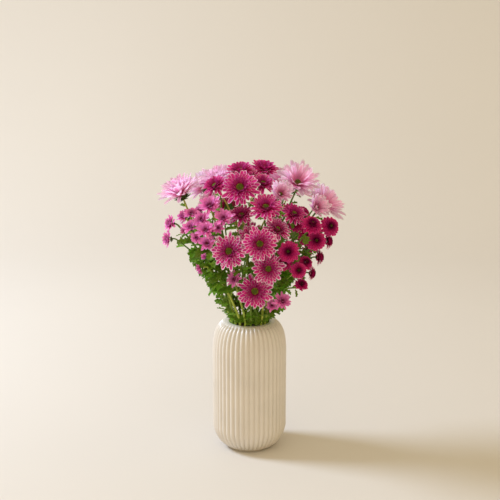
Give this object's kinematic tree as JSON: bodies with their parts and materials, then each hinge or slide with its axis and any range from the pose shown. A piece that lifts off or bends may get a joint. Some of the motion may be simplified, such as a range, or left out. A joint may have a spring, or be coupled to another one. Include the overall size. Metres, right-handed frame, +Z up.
{
  "type": "chrysanthemums in a jar",
  "caption": "Bunch of cut chrysanthemums in pinks and deep magenta, standing in a round-shouldered jar with fine upright ribs.",
  "frame": {"origin": "centre of the jar's flat underside", "axes": "+Z up along the jar's axis, -Y towards the front of the bunch, +X to its right"},
  "size_m": [0.2692, 0.2124, 0.4396],
  "materials": {
    "ceramic": "pale cream, softly glazed",
    "duo_flowers": "deep magenta petals with pale rims on green stems",
    "spider_flowers": "pale pink petals on green stems",
    "daisy_flowers": "pale pink petals on green stems",
    "button_flowers": "crimson petals on green stems",
    "pink_flowers": "rose pink petals on green stems"
  },
  "bodies": {
    "root": {"jar": "ceramic", "duo_spray_1": "duo_flowers", "duo_spray_2": "duo_flowers", "duo_spray_3": "duo_flowers", "duo_spray_4": "duo_flowers", "duo_spray_5": "duo_flowers", "duo_spray_6": "duo_flowers", "duo_spray_7": "duo_flowers", "spider_spray_1": "spider_flowers", "spider_spray_2": "spider_flowers", "daisy_spray_1": "daisy_flowers", "daisy_spray_2": "daisy_flowers", "button_spray_1": "button_flowers", "button_spray_2": "button_flowers", "button_spray_3": "button_flowers", "button_spray_4": "button_flowers", "pink_spray_1": "pink_flowers", "pink_spray_2": "pink_flowers", "pink_spray_3": "pink_flowers", "pink_spray_4": "pink_flowers", "pink_spray_5": "pink_flowers", "pink_spray_6": "pink_flowers"}
  },
  "joints": []
}
